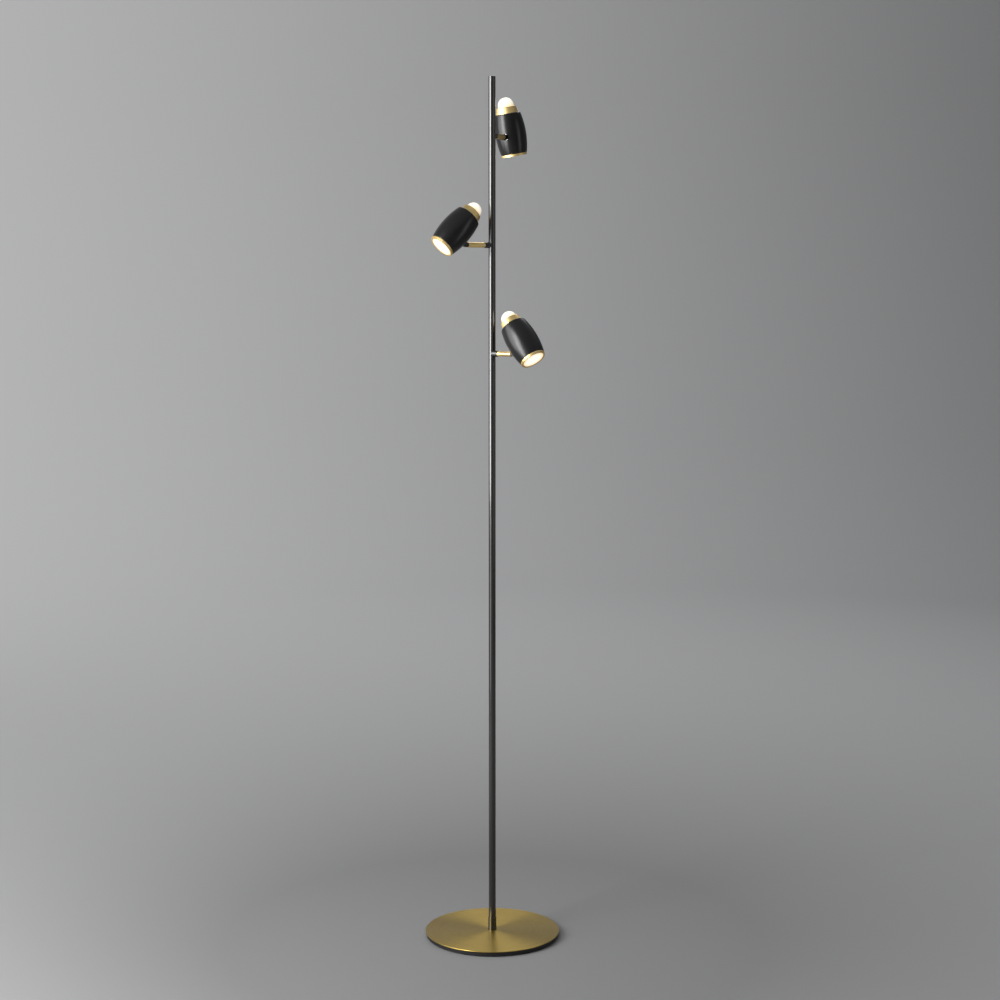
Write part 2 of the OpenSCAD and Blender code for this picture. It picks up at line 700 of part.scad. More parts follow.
base_pad();
base_weight();
base_cover();
cord_inlet_bush();
base_washer();
base_nut();
pole_nipple();
base_collar();
pole_lower();
pole_middle();
pole_upper();
pole_couplers();
pole_cap();
trunk_lead();
crimp_splices();
arm_bosses();
boss_grub_screws();
swivel_washers();
arm_tube(TOP);  // top_arm_tube
arm_knuckle(TOP);  // top_arm_knuckle
arm_lead(TOP);  // top_arm_lead
head_knuckle(TOP);  // top_head_knuckle
pivot_screw(TOP);  // top_pivot_screw
barrel(TOP);  // top_barrel
front_ring(TOP);  // top_front_ring
lens(TOP);  // top_lens
front_board(TOP);  // top_front_board
heat_sink(TOP);  // top_heat_sink
rear_band(TOP);  // top_rear_band
dome(TOP);  // top_dome
rear_board(TOP);  // top_rear_board
head_lead(TOP);  // top_head_lead
arm_tube(MIDDLE);  // middle_arm_tube
arm_knuckle(MIDDLE);  // middle_arm_knuckle
arm_lead(MIDDLE);  // middle_arm_lead
head_knuckle(MIDDLE);  // middle_head_knuckle
pivot_screw(MIDDLE);  // middle_pivot_screw
barrel(MIDDLE);  // middle_barrel
front_ring(MIDDLE);  // middle_front_ring
lens(MIDDLE);  // middle_lens
front_board(MIDDLE);  // middle_front_board
heat_sink(MIDDLE);  // middle_heat_sink
rear_band(MIDDLE);  // middle_rear_band
dome(MIDDLE);  // middle_dome
rear_board(MIDDLE);  // middle_rear_board
head_lead(MIDDLE);  // middle_head_lead
arm_tube(LOW);  // low_arm_tube
arm_knuckle(LOW);  // low_arm_knuckle
arm_lead(LOW);  // low_arm_lead
head_knuckle(LOW);  // low_head_knuckle
pivot_screw(LOW);  // low_pivot_screw
barrel(LOW);  // low_barrel
front_ring(LOW);  // low_front_ring
lens(LOW);  // low_lens
front_board(LOW);  // low_front_board
heat_sink(LOW);  // low_heat_sink
rear_band(LOW);  // low_rear_band
dome(LOW);  // low_dome
rear_board(LOW);  // low_rear_board
head_lead(LOW);  // low_head_lead
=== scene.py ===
import math

import bpy
from mathutils import Matrix, Vector


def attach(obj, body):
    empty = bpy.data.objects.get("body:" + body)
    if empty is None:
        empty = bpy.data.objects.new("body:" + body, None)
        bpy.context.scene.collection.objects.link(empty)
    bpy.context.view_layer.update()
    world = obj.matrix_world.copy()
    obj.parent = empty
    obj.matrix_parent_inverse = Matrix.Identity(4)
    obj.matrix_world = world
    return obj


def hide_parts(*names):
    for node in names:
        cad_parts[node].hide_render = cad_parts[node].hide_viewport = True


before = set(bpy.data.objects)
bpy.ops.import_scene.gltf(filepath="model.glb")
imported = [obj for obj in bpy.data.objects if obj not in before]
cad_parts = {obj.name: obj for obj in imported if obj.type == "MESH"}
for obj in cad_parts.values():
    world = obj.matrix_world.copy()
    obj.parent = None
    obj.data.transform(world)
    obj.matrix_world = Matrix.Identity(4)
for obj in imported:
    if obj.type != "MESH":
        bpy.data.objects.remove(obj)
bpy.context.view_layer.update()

# The camera stands about three and a half metres in front of the pole, a little
# above its middle, and looks slightly down, as the photograph does.
SENSOR, LENS, CAMERA_PLACE, LOOK_DOWN = 36, 68.88, (0.0144, -3.4768, 1.1962), 6.19
camera = bpy.data.objects.new("camera", bpy.data.cameras.new("camera"))
bpy.context.scene.collection.objects.link(camera)
camera.data.sensor_width = SENSOR
camera.data.lens = LENS
camera.location = CAMERA_PLACE
camera.rotation_euler = (math.radians(90 - LOOK_DOWN), 0, 0)
bpy.context.scene.camera = camera

# The studio: a plain grey floor that curves up into a round wall, well behind
# the lamp on every side, so that each view has the same quiet ground.
MM = 0.001
MERGE, SMOOTH_BELOW = 0.002 * MM, math.radians(32)
FLOOR_RINGS, WALL_RADIUS, WALL_HEIGHT, WALL_SWEEP = (0, 1500, 3200), 6500, 5200, 2200
FLOOR_GREY, WALL_GREY, PAINTED_WALL_LIGHT = (0.145, 0.145, 0.145), (0.40, 0.40, 0.40), 0.2
FLOOR_FROM, WALL_FROM, FALL_OFF = 0.5, 4.5, 1.6
# The wall's painted light runs from strong on the left to none on the right, as if lit from the left.
PAINTED_LIGHT_LEFT, PAINTED_LIGHT_RIGHT, PAINTED_LIGHT_REACH = 1.66, -0.04, (-2.8, 2.8)
SKY, SKY_STRENGTH = (0.93, 0.96, 1, 1), 0.35


def pick_none():
    """Leaves edit mode and selects nothing, so that the next operator acts on its own piece alone."""
    if bpy.context.object and bpy.context.object.mode == "EDIT":
        bpy.ops.object.mode_set(mode="OBJECT")
    bpy.ops.object.select_all(action="DESELECT")


def applied(piece, kind, **settings):
    """Adds a modifier to the piece, sets it and applies it."""
    pick_none()
    bpy.context.view_layer.objects.active = piece
    piece.select_set(True)
    modifier = piece.modifiers.new(kind.lower(), kind)
    for name, value in settings.items():
        setattr(modifier, name, value)
    bpy.ops.object.modifier_apply(modifier=modifier.name)


def angles(count, step, first=0):
    """That many angles in radians, a step in degrees apart."""
    return [math.radians(first + step * k) for k in range(count)]


def turned(name, outline, closed=True, steps=96):
    """A piece turned about Z: a vertex is extruded along an outline of (radius, height) in mm, then spun."""
    pick_none()
    bpy.ops.mesh.primitive_plane_add(size=MM, location=(0, 0, 0))
    piece = bpy.context.object
    piece.name = piece.data.name = name
    bpy.ops.object.mode_set(mode="EDIT")
    bpy.ops.mesh.merge(type="CENTER")
    path = [Vector((radius, 0, height)) * MM for radius, height in outline]
    here = path[0]
    bpy.ops.transform.translate(value=here)
    for there in path[1:] + (path[:1] if closed else []):
        bpy.ops.mesh.extrude_vertices_move(TRANSFORM_OT_translate={"value": there - here})
        here = there
    bpy.ops.mesh.select_all(action="SELECT")
    bpy.ops.mesh.spin(steps=steps, angle=math.tau, center=(0, 0, 0), axis=(0, 0, 1))
    bpy.ops.mesh.select_all(action="SELECT")
    bpy.ops.mesh.remove_doubles(threshold=MERGE)
    bpy.ops.mesh.normals_make_consistent(inside=False)
    bpy.ops.object.mode_set(mode="OBJECT")
    bpy.ops.object.shade_smooth_by_angle(angle=SMOOTH_BELOW)
    applied(piece, "WEIGHTED_NORMAL", keep_sharp=True)
    return piece


sweep = [(WALL_RADIUS - WALL_SWEEP * (1 - math.sin(a)), WALL_SWEEP * (1 - math.cos(a)))
         for a in angles(13, 7.5)]
studio = turned("studio_floor", [(r, 0) for r in FLOOR_RINGS] + sweep + [(WALL_RADIUS, WALL_HEIGHT)],
                closed=False)
pick_none()
bpy.context.view_layer.objects.active = studio
studio.select_set(True)
bpy.ops.object.mode_set(mode="EDIT")
bpy.ops.mesh.select_all(action="SELECT")
bpy.ops.mesh.flip_normals()
bpy.ops.object.mode_set(mode="OBJECT")


class Finish:
    """A material and its node tree, with a short way to add and join nodes."""

    def __init__(self, name, **sockets):
        self.material = bpy.data.materials.new(name)
        self.material.use_nodes = True
        self.nodes = self.material.node_tree.nodes
        self.links = self.material.node_tree.links
        self.shader = self.nodes["Principled BSDF"]
        self.finish(**sockets)

    def set(self, node, socket, value):
        """Puts a number, a colour, or another node's output on a socket."""
        if isinstance(value, bpy.types.NodeSocket):
            self.links.new(value, node.inputs[socket])
        elif isinstance(value, tuple) and len(value) == 3 and node.inputs[socket].type == "RGBA":
            node.inputs[socket].default_value = (*value, 1)
        else:
            node.inputs[socket].default_value = value

    def add(self, kind, inputs=None, output=0, **settings):
        """Adds a node and returns one of its outputs."""
        node = self.nodes.new(kind)
        for name, value in settings.items():
            setattr(node, name, value)
        for socket, value in (inputs or {}).items():
            self.set(node, socket, value)
        return node.outputs[output]

    def place(self):
        """The place on the piece, in metres from the frame's origin."""
        return self.add("ShaderNodeTexCoord", output="Object")

    def own_place(self):
        """The place on the piece as it was turned, in metres about its own axis."""
        return self.add("ShaderNodeAttribute", output="Vector", attribute_name="own_place")

    def part(self, vector, axis):
        """One part of a vector: X, Y or Z."""
        return self.add("ShaderNodeSeparateXYZ", {0: vector}, axis)

    def length(self, vector, axes=(1, 1, 1)):
        """The vector's length, measured along the given axes alone."""
        kept = self.add("ShaderNodeVectorMath", {0: vector, 1: axes}, operation="MULTIPLY")
        return self.add("ShaderNodeVectorMath", {0: kept}, "Value", operation="LENGTH")

    def combined(self, kind, *values):
        """A sum, product or other Math node."""
        return self.add("ShaderNodeMath", dict(enumerate(values)), operation=kind)

    def spread(self, value, low, high, reach=(0, 1)):
        """The value's reach spread from low to high."""
        return self.add("ShaderNodeMapRange", {"Value": value, "From Min": reach[0], "From Max": reach[1],
                                               "To Min": low, "To Max": high})

    def mixed(self, amount, first, second):
        """A colour between two."""
        return self.add("ShaderNodeMix", {0: amount, 6: first, 7: second}, 2, data_type="RGBA")

    def noise(self, place, waves, detail):
        """Noise at that many waves a metre."""
        return self.add("ShaderNodeTexNoise", {"Vector": place, "Scale": waves, "Detail": detail})

    def relief(self, height, depth_mm, strength, under=None):
        """Bump of a real depth, laid over another where one is given."""
        inputs = {"Height": height, "Distance": depth_mm * MM, "Strength": strength}
        if under:
            inputs["Normal"] = under
        return self.add("ShaderNodeBump", inputs)

    def finish(self, **sockets):
        """Puts values on the shader's sockets and returns the material."""
        for socket, value in sockets.items():
            self.set(self.shader, socket.replace("_", " "), value)
        return self.material


# The ground is darkest round the lamp and palest on the wall. The wall also carries a little painted light,
# brighter on its left as if the lamps lit it from that side; the camera, gloss and glass see it, and it
# lights nothing.
grey = Finish("studio_grey", Roughness=0.9, Emission_Color=(1, 1, 1))
place = grey.place()
near = grey.spread(grey.length(place), 1, 0, (FLOOR_FROM, WALL_FROM))
away = grey.spread(grey.combined("POWER", near, FALL_OFF), 1, 0)
painted_light_left_to_right = grey.spread(grey.part(place, "X"), PAINTED_LIGHT_LEFT, PAINTED_LIGHT_RIGHT, PAINTED_LIGHT_REACH)
seen = grey.nodes.new("ShaderNodeLightPath")
rays = grey.combined("ADD", seen.outputs["Is Camera Ray"], seen.outputs["Is Glossy Ray"])
rays = grey.combined("ADD", rays, seen.outputs["Is Transmission Ray"])
# Painted light on the wall, brighter on the left, seen only by camera, gloss and glass rays.
painted_wall_light = grey.combined("MULTIPLY", painted_light_left_to_right, grey.spread(away, 0, PAINTED_WALL_LIGHT))
studio.data.materials.append(grey.finish(Base_Color=grey.mixed(away, FLOOR_GREY, WALL_GREY),
                                         Emission_Strength=grey.combined("MULTIPLY", rays, painted_wall_light)))

world = bpy.data.worlds.new("studio")
bpy.context.scene.world = world
world.use_nodes = True
world.node_tree.nodes["Background"].inputs["Color"].default_value = SKY
world.node_tree.nodes["Background"].inputs["Strength"].default_value = SKY_STRENGTH
bpy.context.scene.view_settings.view_transform = "Standard"

# Soft lamps: a tall one on the left draws the bright line down the pole and the sheen on the shells, with
# a short one under it and a broad one beside it. A narrow weak one stands on the right, and two large
# ones hang above, before and behind. The one above and before isn't mirrored in the gloss.
for name, place, aim, size, watts, mirrored in (
        ("left_lamp", (-1.48, -1.2, 1.45), (0, 0, 1.3), (0.7, 1.7), 62, True),
        ("low_lamp", (-1.48, -1.2, 0.33), (0, 0, 0.33), (0.7, 0.54), 3.5, True),
        ("side_lamp", (-1.95, -0.45, 1.45), (0, 0, 1.3), (1.2, 1.7), 34, True),
        ("right_lamp", (2.4, -1.2, 1.3), (0, 0, 1.1), (0.35, 2.0), 6, True),
        ("top_lamp", (-0.5, -0.9, 3.4), (0, 0, 0.3), (2.4, 2.0), 50, False),
        ("back_lamp", (0.5, 2.3, 3.1), (0, 0, 0.1), (1.6, 0.9), 18, True)):
    lamp = bpy.data.objects.new(name, bpy.data.lights.new(name, "AREA"))
    bpy.context.scene.collection.objects.link(lamp)
    lamp.data.shape = "RECTANGLE"
    lamp.data.size, lamp.data.size_y = size
    lamp.data.energy = watts
    lamp.visible_camera = False
    lamp.visible_glossy = mirrored
    lamp.location = place
    lamp.rotation_euler = (Vector(aim) - Vector(place)).to_track_quat("-Z", "Y").to_euler()

# The base's cover is a flat spun disc of brass-finished sheet, brushed in rings
# and lacquered, with a bead rolled round its edge. It lies loose on the weight.
COVER_R, BEAD_R, BASE_TOP, COVER_T, NIPPLE_HOLE = 125, 0.8, 10.5, 1, 5.3
TOP_RINGS, UNDER_RINGS = (NIPPLE_HOLE, 9, 40, 80, 110, 122), (122, 60, NIPPLE_HOLE)
BRUSHED_DARK, BRUSHED_LIGHT, BRUSHED_DULL = (0.42, 0.29, 0.065), (0.60, 0.43, 0.11), (0.36, 0.25, 0.06)
# The hairs of the brushing run round: one radian of turn counts as this many metres across them.
TURN_AS_METRES = 0.0012


def dress(material, *pieces):
    """Gives the material to every slot of the pieces, or of CAD nodes by name."""
    for piece in pieces:
        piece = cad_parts[piece] if isinstance(piece, str) else piece
        if not piece.material_slots:
            piece.data.materials.append(material)
        for slot in piece.material_slots:
            slot.material = material


def stands_for(piece, body, slot, *nodes):
    """The piece rides on the body and replaces the CAD nodes; the slot is not used."""
    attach(piece, body)
    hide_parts(*nodes)


bead = [(COVER_R - BEAD_R + BEAD_R * math.sin(a), BASE_TOP - BEAD_R + BEAD_R * math.cos(a))
        for a in angles(14, 18)]
cover = turned("base_cover_brushed", [(r, BASE_TOP) for r in TOP_RINGS] + bead
               + [(r, BASE_TOP - COVER_T) for r in UNDER_RINGS], steps=192)
stands_for(cover, "stand", "brushed_brass", "base_cover")

brushed = Finish("brushed_brass_rings", Metallic=1.0, Anisotropic=0.72, Anisotropic_Rotation=0.25,
                 Coat_Weight=0.12, Coat_Roughness=0.22)
place = brushed.place()
from_axis = brushed.length(place, (1, 1, 0))
bearing = brushed.combined("ARCTAN2", brushed.part(place, "Y"), brushed.part(place, "X"))
along = brushed.add("ShaderNodeCombineXYZ", {
    0: from_axis, 1: brushed.combined("MULTIPLY", bearing, TURN_AS_METRES), 2: brushed.part(place, "Z")})
hairs = brushed.noise(along, 2600, 3)
bands = brushed.noise(along, 190, 2)
clouds = brushed.noise(place, 9, 3)
tone = brushed.mixed(brushed.spread(hairs, 0, 1, (0.3, 0.7)), BRUSHED_DARK, BRUSHED_LIGHT)
dress(brushed.finish(
    Base_Color=brushed.mixed(brushed.spread(clouds, 0, 0.35, (0.35, 0.7)), tone, BRUSHED_DULL),
    Roughness=brushed.combined("ADD", brushed.spread(hairs, 0.30, 0.40), brushed.spread(bands, -0.03, 0.05)),
    Tangent=brushed.add("ShaderNodeTangent", direction_type="RADIAL", axis="Z"),
    Normal=brushed.relief(hairs, 0.012, 0.6, brushed.relief(bands, 0.02, 0.25))), cover)

# The weight under the cover is a cast-iron disc in black paint, on a foam pad.
# A nylon bush lines the inlet at its back; a nut, washer and nipple clamp it to the pole.


def plain_finish(name, clouds, rough, grain=None, tones=None, **sockets):
    """Clouds of (waves, detail) move roughness and tone; a grain also has a depth in mm and a strength."""
    finish = Finish(name, **sockets)
    place = finish.place()
    cloud = finish.noise(place, *clouds)
    if tones:
        finish.finish(Base_Color=finish.mixed(cloud, *tones))
    if grain:
        waves, detail, depth, strength = grain
        finish.finish(Normal=finish.relief(finish.noise(place, waves, detail), depth, strength))
    return finish.finish(Roughness=finish.spread(cloud, *rough))


dress(plain_finish("cast_black_paint", (120, 3), (0.42, 0.6), (900, 4, 0.05, 0.5),
                   Base_Color=(0.007, 0.006, 0.0065)), "base_weight")
foam = Finish("pad_foam", Base_Color=(0.02, 0.02, 0.022))
cells = foam.add("ShaderNodeTexVoronoi", {"Vector": foam.place(), "Scale": 1400})
dress(foam.finish(Roughness=foam.spread(cells, 0.95, 0.8), Normal=foam.relief(cells, 0.1, 0.6)), "base_pad")
dress(plain_finish("black_nylon", (400, 3), (0.42, 0.55), (2500, 2, 0.01, 0.4),
                   Base_Color=(0.015, 0.015, 0.016)), "cord_inlet_bush")
dress(plain_finish("zinc_plated_steel", (700, 3), (0.24, 0.4), (700, 3, 0.008, 0.5),
                   ((0.52, 0.52, 0.50), (0.66, 0.66, 0.65)), Metallic=1.0),
      "base_washer", "base_nut", "pole_nipple", "pole_couplers", "boss_grub_screws")

# The collar is a turned steel bush in gloss black lacquer. A rounded foot ring
# meets the cover, and above its body a long neck tapers to the pole.
COLLAR_R, COLLAR_H, FOOT_R, FOOT_H, NECK_H = 7.6, 24, 8, 6, 15
WAIST, WAIST_H, NECK_FOOT, NECK_TIP = 0.25, 0.6, 0.52, 0.35
POLE_R, POLE_BORE, POLE_FOOT, FIT = 6.5, 5.3, BASE_TOP + 4, 0.05
foot_top, body_top, neck_top = BASE_TOP + FOOT_H, BASE_TOP + COLLAR_H, BASE_TOP + COLLAR_H + NECK_H


def rounded(corners, closed=True, steps=5):
    """The outline through corners of (radius, height, rounding), each rounded to its own radius."""
    outline = []
    last = len(corners) - 1
    for n, (x, z, cut) in enumerate(corners):
        here = Vector((x, z))
        if not cut or (not closed and n in (0, last)):
            outline.append(here)
            continue
        back = (Vector(corners[n - 1][:2]) - here).normalized()
        on = (Vector(corners[0 if n == last else n + 1][:2]) - here).normalized()
        half = back.angle(on) / 2
        centre = here + (back + on).normalized() * cut / math.sin(half)
        start = here + back * cut / math.tan(half) - centre
        end = here + on * cut / math.tan(half) - centre
        for k in range(steps + 1):
            outline.append(centre + start.lerp(end, k / steps).normalized() * cut)
    return outline


collar = turned("base_collar_turned", rounded([
    (NIPPLE_HOLE, BASE_TOP, 0), (FOOT_R, BASE_TOP, 0.2), (FOOT_R, foot_top, 0.6),
    (COLLAR_R - WAIST, foot_top, 0.1), (COLLAR_R, foot_top + WAIST_H, 0.2), (COLLAR_R, body_top, 0.5),
    (POLE_R + NECK_FOOT, body_top, 0.1), (POLE_R + NECK_TIP, neck_top, 0.12),
    (POLE_R + FIT, neck_top, 0), (POLE_R + FIT, POLE_FOOT, 0), (NIPPLE_HOLE, POLE_FOOT, 0)]))
stands_for(collar, "stand", "black_gloss", "base_collar")
black_gloss = plain_finish("gloss_black_lacquer", (60, 3), (0.1, 0.2), (420, 2, 0.006, 0.5),
                           Base_Color=(0.009, 0.008, 0.008), IOR=1.6, Coat_Weight=0.6, Coat_Roughness=0.06)
dress(black_gloss, collar)

# The pole is three lengths of steel tube with fine chamfered seams, and a flat
# plug of the same diameter on top, all in semi-gloss black lacquer.
SEAM_LOW, SEAM_HIGH, SEAM_EDGE, LAMP_TOP, CAP_T, PLUG_L, SPANS = 535.25, 1056, 0.22, 1580, 3, 8, 6
tube_top = LAMP_TOP - CAP_T
lengths = []
for name, foot, head in (("pole_lower", POLE_FOOT, SEAM_LOW), ("pole_middle", SEAM_LOW, SEAM_HIGH),
                         ("pole_upper", SEAM_HIGH, tube_top)):
    rings = [(POLE_R, foot + (head - foot) * k / SPANS, 0) for k in range(1, SPANS)]
    tube = turned(name + "_tube", rounded([(POLE_BORE, foot, 0), (POLE_R, foot, SEAM_EDGE)] + rings
                                          + [(POLE_R, head, SEAM_EDGE), (POLE_BORE, head, 0)]), steps=64)
    stands_for(tube, "stand", "pole_black", name)
    lengths.append(tube)
cap = turned("pole_cap_plug", rounded([
    (0, LAMP_TOP, 0), (POLE_R, LAMP_TOP, 0.5), (POLE_R, tube_top, 0.15), (POLE_BORE - FIT, tube_top, 0),
    (POLE_BORE - FIT, tube_top - PLUG_L, 0.5), (0, tube_top - PLUG_L, 0)], closed=False),
    closed=False, steps=64)
stands_for(cap, "stand", "pole_black", "pole_cap")

lacquer = Finish("pole_black_lacquer", IOR=1.55, Coat_Weight=0.5, Coat_Roughness=0.08)
place = lacquer.place()
drawn = lacquer.noise(lacquer.add("ShaderNodeMapping", {"Vector": place, "Scale": (1, 1, 0.02)}), 1500, 2)
cloud = lacquer.noise(place, 35, 3)
dress(lacquer.finish(
    Base_Color=lacquer.mixed(cloud, (0.008, 0.0066, 0.006), (0.012, 0.0098, 0.0086)),
    Roughness=lacquer.combined("ADD", lacquer.spread(cloud, 0.13, 0.18), lacquer.spread(drawn, -0.01, 0.02)),
    Normal=lacquer.relief(drawn, 0.002, 0.2)), cap, *lengths)

# Each arm leaves the pole from a short black boss, brazed on with a small
# fillet. The brass arm tube turns in it on a grooved spigot, against a nylon washer.
BOSS_R, BOSS_START, BOSS_FLOOR, BOSS_REACH, BOSS_BORE, WASHER_T = 5.5, 1, 8.4, 15, 2, 0.5
FILLET = ((0.4, BOSS_START), (0.4, 6.7), (0.1, 7.1), (0, 7.7))
SPIGOT_R, SPIGOT_END, GROOVE_R, GROOVE_FROM, GROOVE_TO = 3.5, 8.7, 2.7, 10.6, 13.0
ARM_R, ARM_BORE, ARM_RINGS, ARM_END, STUD_R, STUD_FLOOR = 4.7, 1.7, (26, 37), 47.7, 3.05, 39.7
# The name, bearing, swivel and tilt in degrees, and height of each arm.
ARMS = (("top", 65, 7, 9, 1476), ("middle", 206, -3, 45, 1281), ("low", -42, 0, 39, 1086))
QUARTER_TURN, SADDLE_L = math.radians(90), 40
shoulder = BOSS_REACH + WASHER_T


def copied(piece, name, matrix):
    """A copy of the piece with its own mesh, placed by the matrix with its place in its mesh."""
    pick_none()
    twin = piece.copy()
    twin.data = piece.data.copy()
    twin.name = twin.data.name = name
    bpy.context.scene.collection.objects.link(twin)
    twin.matrix_world = matrix
    bpy.context.view_layer.objects.active = twin
    twin.select_set(True)
    bpy.ops.object.transform_apply(location=True, rotation=True, scale=True)
    return twin


def cut_by_cylinder(piece, radius, length, place=(0, 0, 0), vertices=96):
    """Cuts a cylinder that lies along X out of the piece."""
    pick_none()
    bpy.ops.mesh.primitive_cylinder_add(vertices=vertices, radius=radius * MM, depth=length * MM,
                                        location=Vector(place) * MM, rotation=(0, QUARTER_TURN, 0))
    cutter = bpy.context.object
    applied(piece, "BOOLEAN", object=cutter, operation="DIFFERENCE", solver="EXACT")
    bpy.data.objects.remove(cutter)


def keep_own_place(piece):
    """Stores each vertex's place on the piece itself, in metres, which the turned finishes follow."""
    own = piece.data.attributes.new("own_place", "FLOAT_VECTOR", "POINT")
    own.data.foreach_set("vector", [c for v in piece.data.vertices for c in v.co])


def arm_frame(bearing, swivel, height):
    """+X runs out along the arm, from the pole's axis."""
    return (Matrix.Rotation(math.radians(bearing), 4, "Z") @ Matrix.Translation((0, 0, height * MM))
            @ Matrix.Rotation(math.radians(-swivel), 4, "X"))


along_arm = Matrix.Rotation(QUARTER_TURN, 4, "Y")
boss = turned("boss", rounded([
    (BOSS_BORE, BOSS_START, 0), *[(BOSS_R + out, reach, 0) for out, reach in FILLET],
    (BOSS_R, BOSS_REACH, 0.45), (SPIGOT_R + FIT, BOSS_REACH, 0.2), (SPIGOT_R + FIT, BOSS_FLOOR, 0),
    (BOSS_BORE, BOSS_FLOOR, 0)]), steps=72)
cut_by_cylinder(boss, POLE_R, SADDLE_L)
bosses = [copied(boss, "boss_" + head, arm_frame(bearing, 0, height) @ along_arm)
          for head, bearing, _, _, height in ARMS]
pick_none()
for part in bosses:
    part.select_set(True)
bpy.context.view_layer.objects.active = bosses[0]
bpy.ops.object.join()
bosses[0].name = "arm_bosses_brazed"
stands_for(bosses[0], "stand", "black_gloss", "arm_bosses")
dress(black_gloss, bosses[0])
bpy.data.objects.remove(boss)


def turned_brass(name, dark, light, rough, waves):
    """Satin brass turned on a lathe: fine rings about the piece's own axis, under clear lacquer."""
    brass = Finish(name, Metallic=1.0, Anisotropic=0.35, Coat_Weight=0.15, Coat_Roughness=0.15)
    own = brass.own_place()
    line = brass.add("ShaderNodeCombineXYZ", {0: brass.length(own, (1, 1, 0)), 2: brass.part(own, "Z")})
    lathe = brass.noise(line, waves, 2)
    haze = brass.noise(own, 55, 3)
    ridges = brass.spread(lathe, rough - 0.04, rough + 0.05)
    return brass.finish(
        Base_Color=brass.mixed(brass.spread(haze, 0, 1, (0.3, 0.7)), dark, light),
        Roughness=brass.combined("ADD", ridges, brass.spread(haze, -0.02, 0.03)),
        Normal=brass.relief(lathe, 0.006, 0.5))


arm = turned("arm", rounded([
    (ARM_BORE, SPIGOT_END, 0), (SPIGOT_R, SPIGOT_END, 0.2),
    (SPIGOT_R, GROOVE_FROM, 0), (GROOVE_R, GROOVE_FROM, 0), (GROOVE_R, GROOVE_TO, 0),
    (SPIGOT_R, GROOVE_TO, 0), (SPIGOT_R, shoulder, 0), (ARM_R, shoulder, 0.3),
    *[(ARM_R, reach, 0) for reach in ARM_RINGS], (ARM_R, ARM_END, 0.35),
    (STUD_R, ARM_END, 0), (STUD_R, STUD_FLOOR, 0), (ARM_BORE, STUD_FLOOR, 0)]), steps=72)
keep_own_place(arm)
arm_brass = turned_brass("arm_satin_brass", (0.76, 0.55, 0.22), (0.86, 0.65, 0.29), 0.40, 2200)
for head, bearing, swivel, _, height in ARMS:
    tube = copied(arm, head + "_arm_turned", arm_frame(bearing, swivel, height) @ along_arm)
    stands_for(tube, head + "_arm", "satin_brass", head + "_arm_tube")
    dress(arm_brass, tube)
bpy.data.objects.remove(arm)
dress(plain_finish("natural_nylon", (500, 2), (0.4, 0.52), Base_Color=(0.62, 0.6, 0.54),
                   Subsurface_Weight=0.1, Subsurface_Scale=0.001), "swivel_washers", "crimp_splices")

# Each knuckle is two half-laps in black lacquer, one screwed into the arm and one into the heat sink, on a
# slotted pivot screw of blackened steel. The CAD halves are copied and their edges rounded.
EASE, EASE_STEPS, EASE_ABOVE, KNUCKLE_SMOOTH_BELOW = 0.22, 3, 40, 35
knuckle_black = plain_finish("knuckle_black_lacquer", (90, 3), (0.26, 0.34), (650, 2, 0.006, 0.5),
                             Base_Color=(0.006, 0.0056, 0.0055), IOR=1.45)
for head, *_ in ARMS:
    for half, body in (("arm_knuckle", head + "_arm"), ("head_knuckle", head + "_head")):
        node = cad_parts[head + "_" + half]
        knuckle = copied(node, head + "_" + half + "_eased", Matrix.Identity(4))
        knuckle.parent = None
        bpy.ops.object.mode_set(mode="EDIT")
        bpy.ops.mesh.select_all(action="SELECT")
        bpy.ops.mesh.remove_doubles(threshold=MERGE)
        bpy.ops.mesh.dissolve_limited(angle_limit=math.radians(1))
        bpy.ops.object.mode_set(mode="OBJECT")
        applied(knuckle, "BEVEL", width=EASE * MM, segments=EASE_STEPS, limit_method="ANGLE",
                angle_limit=math.radians(EASE_ABOVE), use_clamp_overlap=True)
        bpy.ops.object.shade_smooth_by_angle(angle=math.radians(KNUCKLE_SMOOTH_BELOW))
        stands_for(knuckle, body, "black_gloss", head + "_" + half)
        dress(knuckle_black, knuckle)
dress(plain_finish("blackened_steel", (700, 3), (0.3, 0.42),
                   tones=((0.045, 0.042, 0.04), (0.075, 0.07, 0.066)), Metallic=1.0),
      *[head + "_pivot_screw" for head, *_ in ARMS])

# Each barrel is spun from sheet metal to one long curve, with a rounded back
# edge, and lacquered satin black. It is drilled for the knuckle's stem.
RING_H, BARREL_L, BARREL_R, CURVE_R, BELLY, WALL, BACK_ROUND = 4, 77.5, 28.4, 150, 40.5, 1.6, 2.6
PIVOT_REACH, PIVOT_R, PIVOT_S, DOME_R = 53, BARREL_R + 2.3, 36.5, 14.5
FRONT_EDGE, BACK_EDGE, BACK_OUT, INNER_BACK = 0.25, BACK_ROUND - 0.3, 0.1, 1
HOLE_R, DRILL_L, DRILL_X, OUTER_STEPS, INNER_STEPS = 6, 20, -28, 40, 24
outer_end, inner_end = BARREL_L - BACK_ROUND, BARREL_L - WALL - INNER_BACK


def barrel_radius(s, inset=0):
    """The barrel's radius at that distance from the front face, or its inner wall's."""
    return BARREL_R - CURVE_R + math.sqrt((CURVE_R - inset) ** 2 - (s - BELLY) ** 2)


def head_frame(bearing, swivel, tilt, height):
    """The head's own frame: the origin at its front face, +Z towards the dome."""
    return (arm_frame(bearing, swivel, height) @ Matrix.Translation((PIVOT_REACH * MM, 0, 0))
            @ Matrix.Rotation(math.radians(-tilt), 4, "Y")
            @ Matrix.Translation((PIVOT_R * MM, 0, -PIVOT_S * MM)))


